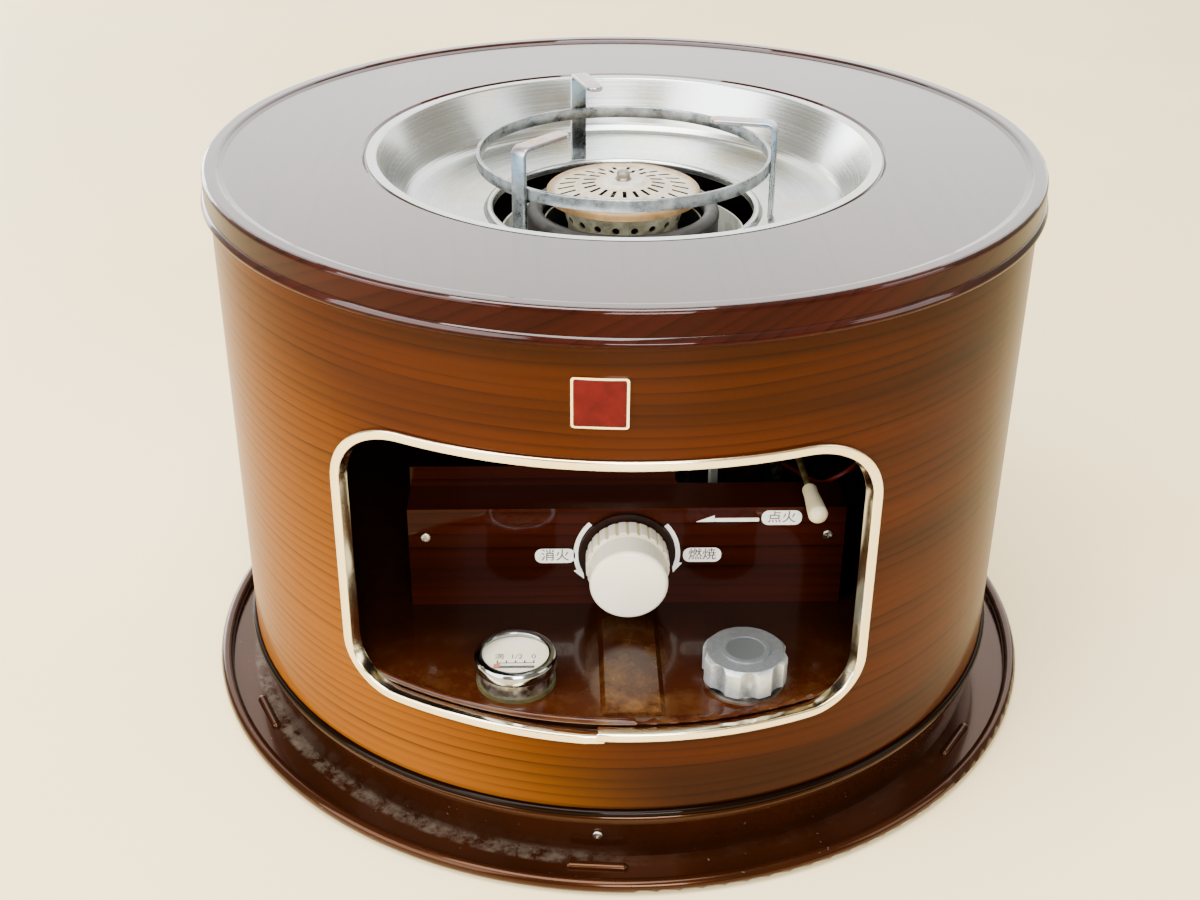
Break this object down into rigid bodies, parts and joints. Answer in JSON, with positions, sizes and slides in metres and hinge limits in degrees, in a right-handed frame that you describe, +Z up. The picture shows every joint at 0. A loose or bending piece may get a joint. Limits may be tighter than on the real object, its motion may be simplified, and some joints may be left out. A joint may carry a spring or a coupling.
{
  "type": "kerosene heater",
  "caption": "Round wood-print kerosene cooking heater on a floor tray, with wick knob, fuel gauge, filler cap, lift lever, drip bowl and pot trivet.",
  "frame": {"origin": "middle of the floor tray's underside, on the floor", "axes": "+Z up, -Y out of the front with the knob and the window, +X to the right seen from behind the front"},
  "size_m": [0.486, 0.486, 0.323],
  "materials": {
    "brown_enamel": "gloss",
    "wood_print": "gloss",
    "top_enamel": "gloss",
    "panel_enamel": "gloss",
    "bright_trim": "polished",
    "badge_red": "satin",
    "bright_steel": "satin",
    "zinc_steel": "satin",
    "burner_enamel": "satin",
    "heated_steel": "matte",
    "brass": "satin",
    "cap_metal": "satin",
    "black_rubber": "matte",
    "seal_rubber": "matte",
    "dial_cream": "matte",
    "lens_glass": "clear",
    "pointer_orange": "matte",
    "float_cork": "matte",
    "cream_plastic": "gloss",
    "black_plastic": "matte",
    "wick_cotton": "matte",
    "lever_steel": "satin",
    "igniter_ceramic": "matte",
    "lead_red": "satin",
    "cell_jacket": "satin"
  },
  "bodies": {
    "stove": {"floor_tray": "brown_enamel", "base_ring": "brown_enamel", "base_screws": "bright_steel", "outer_drum": "wood_print", "window_trim": "bright_trim", "badge_plate": "badge_red", "top_plate": "top_enamel", "tank_shell": "brown_enamel", "tank_top": "brown_enamel", "filler_neck": "zinc_steel", "gauge_seal": "seal_rubber", "gauge_body": "zinc_steel", "gauge_dial": "dial_cream", "gauge_lens": "lens_glass", "gauge_bezel": "bright_steel", "control_panel": "panel_enamel", "panel_screws": "bright_steel", "knob_escutcheon": "black_plastic", "spindle_bush": "brass", "spindle_bracket": "zinc_steel", "return_spring": "bright_steel", "shutoff_bracket": "zinc_steel", "draught_tube": "zinc_steel", "wick_tube": "zinc_steel", "heat_shield": "zinc_steel", "shield_legs": "zinc_steel", "lever_pivot": "zinc_steel", "igniter_lead": "lead_red", "battery_case": "black_plastic", "battery_cells": "cell_jacket"},
    "wick_drive": {"wick_knob": "cream_plastic", "wick_spindle": "bright_steel", "wick_pinion": "brass", "shutoff_ratchet": "zinc_steel"},
    "wick": {"wick": "wick_cotton", "wick_sleeve": "zinc_steel"},
    "burner": {"burner_jacket": "burner_enamel", "outer_flame_tube": "heated_steel", "inner_flame_tube": "heated_steel", "flame_spreader": "heated_steel", "spreader_screw": "zinc_steel", "burner_pins": "zinc_steel"},
    "lever": {"lever_arm": "lever_steel", "lever_tip": "cream_plastic", "igniter": "igniter_ceramic"},
    "bowl": {"drip_bowl": "bright_steel"},
    "trivet": {"trivet_ring": "bright_steel", "trivet_legs": "bright_steel"},
    "cap_seal": {"cap_gasket": "black_rubber"},
    "cap": {"filler_cap": "cap_metal"},
    "float": {"float_arm": "brass", "float": "float_cork", "gauge_pointer": "pointer_orange"},
    "weight": {"shutoff_weight": "brass"},
    "cover": {"battery_cover": "black_plastic"}
  },
  "joints": [
    {"name": "wick_knob_turn", "type": "hinge", "parent": "stove", "child": "wick_drive", "pos_m": [0, -0.11, 0.1154], "axis": [0, 1, 0], "range_deg": [0, 100]},
    {"name": "wick_lift", "type": "slide", "parent": "stove", "child": "wick", "axis": [0, 0, 1], "range_m": [0, 0.0105]},
    {"name": "ignition_lever", "type": "hinge", "parent": "stove", "child": "lever", "pos_m": [0.092, 0, 0.151], "axis": [0, 0, 1], "range_deg": [-35, 0]},
    {"name": "burner_lift", "type": "slide", "parent": "stove", "child": "burner", "axis": [0, 0, 1], "range_m": [0, 0.0061]},
    {"name": "bowl_lift", "type": "slide", "parent": "stove", "child": "bowl", "axis": [0, 0, 1], "range_m": [0, 0.08]},
    {"name": "trivet_lift", "type": "slide", "parent": "bowl", "child": "trivet", "axis": [0, 0, 1], "range_m": [0, 0.06]},
    {"name": "cap_lift", "type": "slide", "parent": "stove", "child": "cap_seal", "axis": [0, 0, 1], "range_m": [0, 0.04]},
    {"name": "cap_turn", "type": "hinge", "parent": "cap_seal", "child": "cap", "pos_m": [0.057, -0.178, 0.097], "axis": [0, 0, 1], "range_deg": [0, 90]},
    {"name": "float_swing", "type": "hinge", "parent": "stove", "child": "float", "pos_m": [-0.058, -0.183, 0.06], "axis": [0, 1, 0], "range_deg": [0, 28]},
    {"name": "tip_over_weight", "type": "hinge", "parent": "stove", "child": "weight", "pos_m": [-0.046, -0.06835, 0.1414], "axis": [1, 0, 0], "range_deg": [-8, 8]},
    {"name": "battery_cover_pull", "type": "slide", "parent": "stove", "child": "cover", "axis": [0.0802, 0.9968, 0], "range_m": [0, 0.06]}
  ],
  "couplings": [
    {"joint": "wick_lift", "follows": "wick_knob_turn", "m_per_rad": 0.006},
    {"joint": "burner_lift", "follows": "ignition_lever", "m_per_rad": -0.009822}
  ]
}
